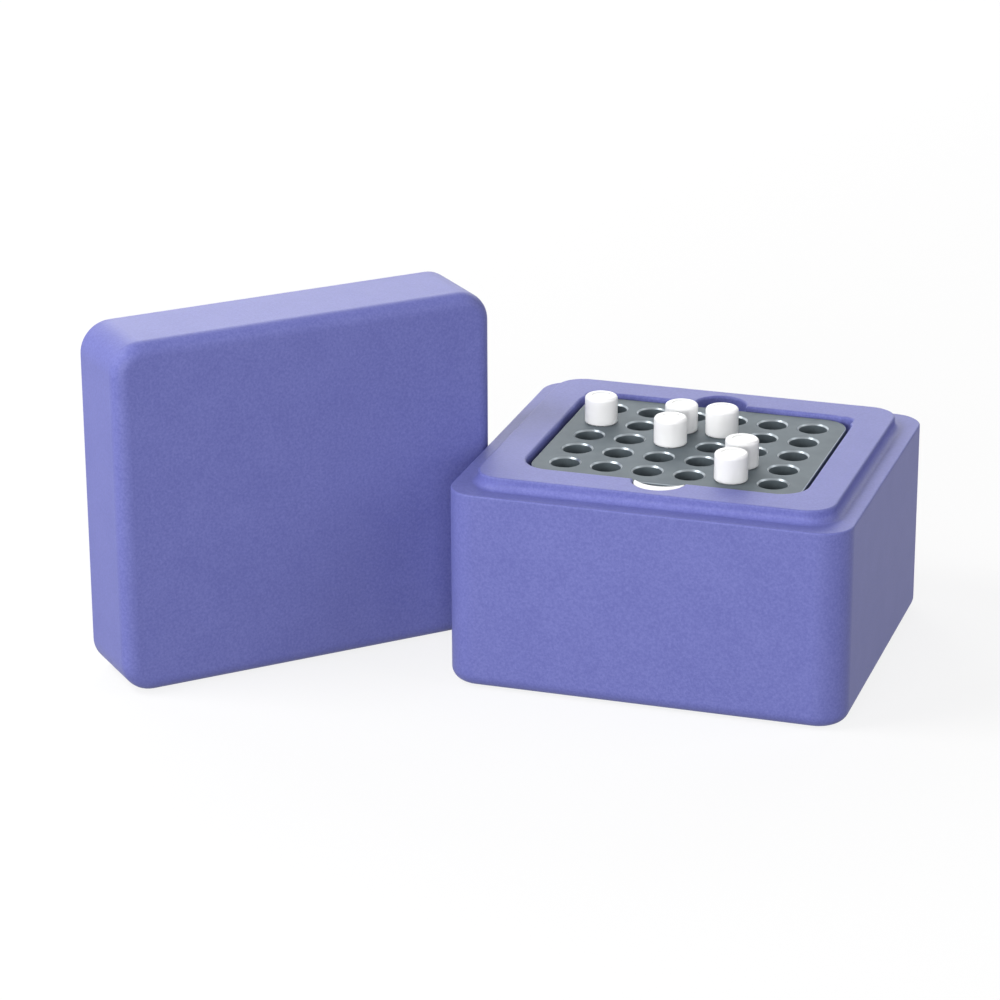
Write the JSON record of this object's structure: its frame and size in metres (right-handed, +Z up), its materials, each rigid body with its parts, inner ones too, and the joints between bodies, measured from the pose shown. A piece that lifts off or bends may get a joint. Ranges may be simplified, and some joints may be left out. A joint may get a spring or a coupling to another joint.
{
  "type": "passive vial cooling and freezing box",
  "caption": "Foam bench box with a cold cartridge and an aluminium bore rack for cryogenic vials, lid stood on edge beside it.",
  "frame": {"origin": "middle of the foam base's underside", "axes": "+Z up, +X to the right along the base's long side, +Y to the back"},
  "size_m": [0.34, 0.2168, 0.163],
  "materials": {
    "foam": "fine closed-cell foam",
    "rack_metal": "matt anodised",
    "cartridge_plastic": "satin moulded",
    "tube_plastic": "translucent moulded",
    "cap_plastic": "satin moulded",
    "seal_rubber": "matt silicone"
  },
  "bodies": {
    "box": {"foam_base": "foam", "foam_lid": "foam", "vial_rack": "rack_metal", "cold_cartridge": "cartridge_plastic", "vial_tube_1": "tube_plastic", "vial_tube_2": "tube_plastic", "vial_tube_3": "tube_plastic", "vial_tube_4": "tube_plastic", "vial_tube_5": "tube_plastic", "vial_tube_6": "tube_plastic"},
    "cap_1_lift": {"cap_seal_1": "seal_rubber"},
    "cap_1": {"vial_cap_1": "cap_plastic"},
    "cap_2_lift": {"cap_seal_2": "seal_rubber"},
    "cap_2": {"vial_cap_2": "cap_plastic"},
    "cap_3_lift": {"cap_seal_3": "seal_rubber"},
    "cap_3": {"vial_cap_3": "cap_plastic"},
    "cap_4_lift": {"cap_seal_4": "seal_rubber"},
    "cap_4": {"vial_cap_4": "cap_plastic"},
    "cap_5_lift": {"cap_seal_5": "seal_rubber"},
    "cap_5": {"vial_cap_5": "cap_plastic"},
    "cap_6_lift": {"cap_seal_6": "seal_rubber"},
    "cap_6": {"vial_cap_6": "cap_plastic"}
  },
  "joints": [
    {"name": "cap_1_rise", "type": "slide", "parent": "box", "child": "cap_1_lift", "axis": [0, 0, 1], "range_m": [0, 0.00375]},
    {"name": "cap_1_turn", "type": "hinge", "parent": "cap_1_lift", "child": "cap_1", "pos_m": [-0.04763, 0.01905, 0.1], "axis": [0, 0, 1], "range_deg": [0, 450]},
    {"name": "cap_2_rise", "type": "slide", "parent": "box", "child": "cap_2_lift", "axis": [0, 0, 1], "range_m": [0, 0.00375]},
    {"name": "cap_2_turn", "type": "hinge", "parent": "cap_2_lift", "child": "cap_2", "pos_m": [-0.00953, 0, 0.1], "axis": [0, 0, 1], "range_deg": [0, 450]},
    {"name": "cap_3_rise", "type": "slide", "parent": "box", "child": "cap_3_lift", "axis": [0, 0, 1], "range_m": [0, 0.00375]},
    {"name": "cap_3_turn", "type": "hinge", "parent": "cap_3_lift", "child": "cap_3", "pos_m": [-0.00953, 0.01905, 0.1], "axis": [0, 0, 1], "range_deg": [0, 450]},
    {"name": "cap_4_rise", "type": "slide", "parent": "box", "child": "cap_4_lift", "axis": [0, 0, 1], "range_m": [0, 0.00375]},
    {"name": "cap_4_turn", "type": "hinge", "parent": "cap_4_lift", "child": "cap_4", "pos_m": [0.00953, 0.01905, 0.1], "axis": [0, 0, 1], "range_deg": [0, 450]},
    {"name": "cap_5_rise", "type": "slide", "parent": "box", "child": "cap_5_lift", "axis": [0, 0, 1], "range_m": [0, 0.00375]},
    {"name": "cap_5_turn", "type": "hinge", "parent": "cap_5_lift", "child": "cap_5", "pos_m": [0.02857, -0.01905, 0.1], "axis": [0, 0, 1], "range_deg": [0, 450]},
    {"name": "cap_6_rise", "type": "slide", "parent": "box", "child": "cap_6_lift", "axis": [0, 0, 1], "range_m": [0, 0.00375]},
    {"name": "cap_6_turn", "type": "hinge", "parent": "cap_6_lift", "child": "cap_6", "pos_m": [0.02857, -0.0381, 0.1], "axis": [0, 0, 1], "range_deg": [0, 450]}
  ],
  "couplings": [
    {"joint": "cap_1_turn", "follows": "cap_1_rise", "rad_per_m": 2094.4},
    {"joint": "cap_2_turn", "follows": "cap_2_rise", "rad_per_m": 2094.4},
    {"joint": "cap_3_turn", "follows": "cap_3_rise", "rad_per_m": 2094.4},
    {"joint": "cap_4_turn", "follows": "cap_4_rise", "rad_per_m": 2094.4},
    {"joint": "cap_5_turn", "follows": "cap_5_rise", "rad_per_m": 2094.4},
    {"joint": "cap_6_turn", "follows": "cap_6_rise", "rad_per_m": 2094.4}
  ]
}
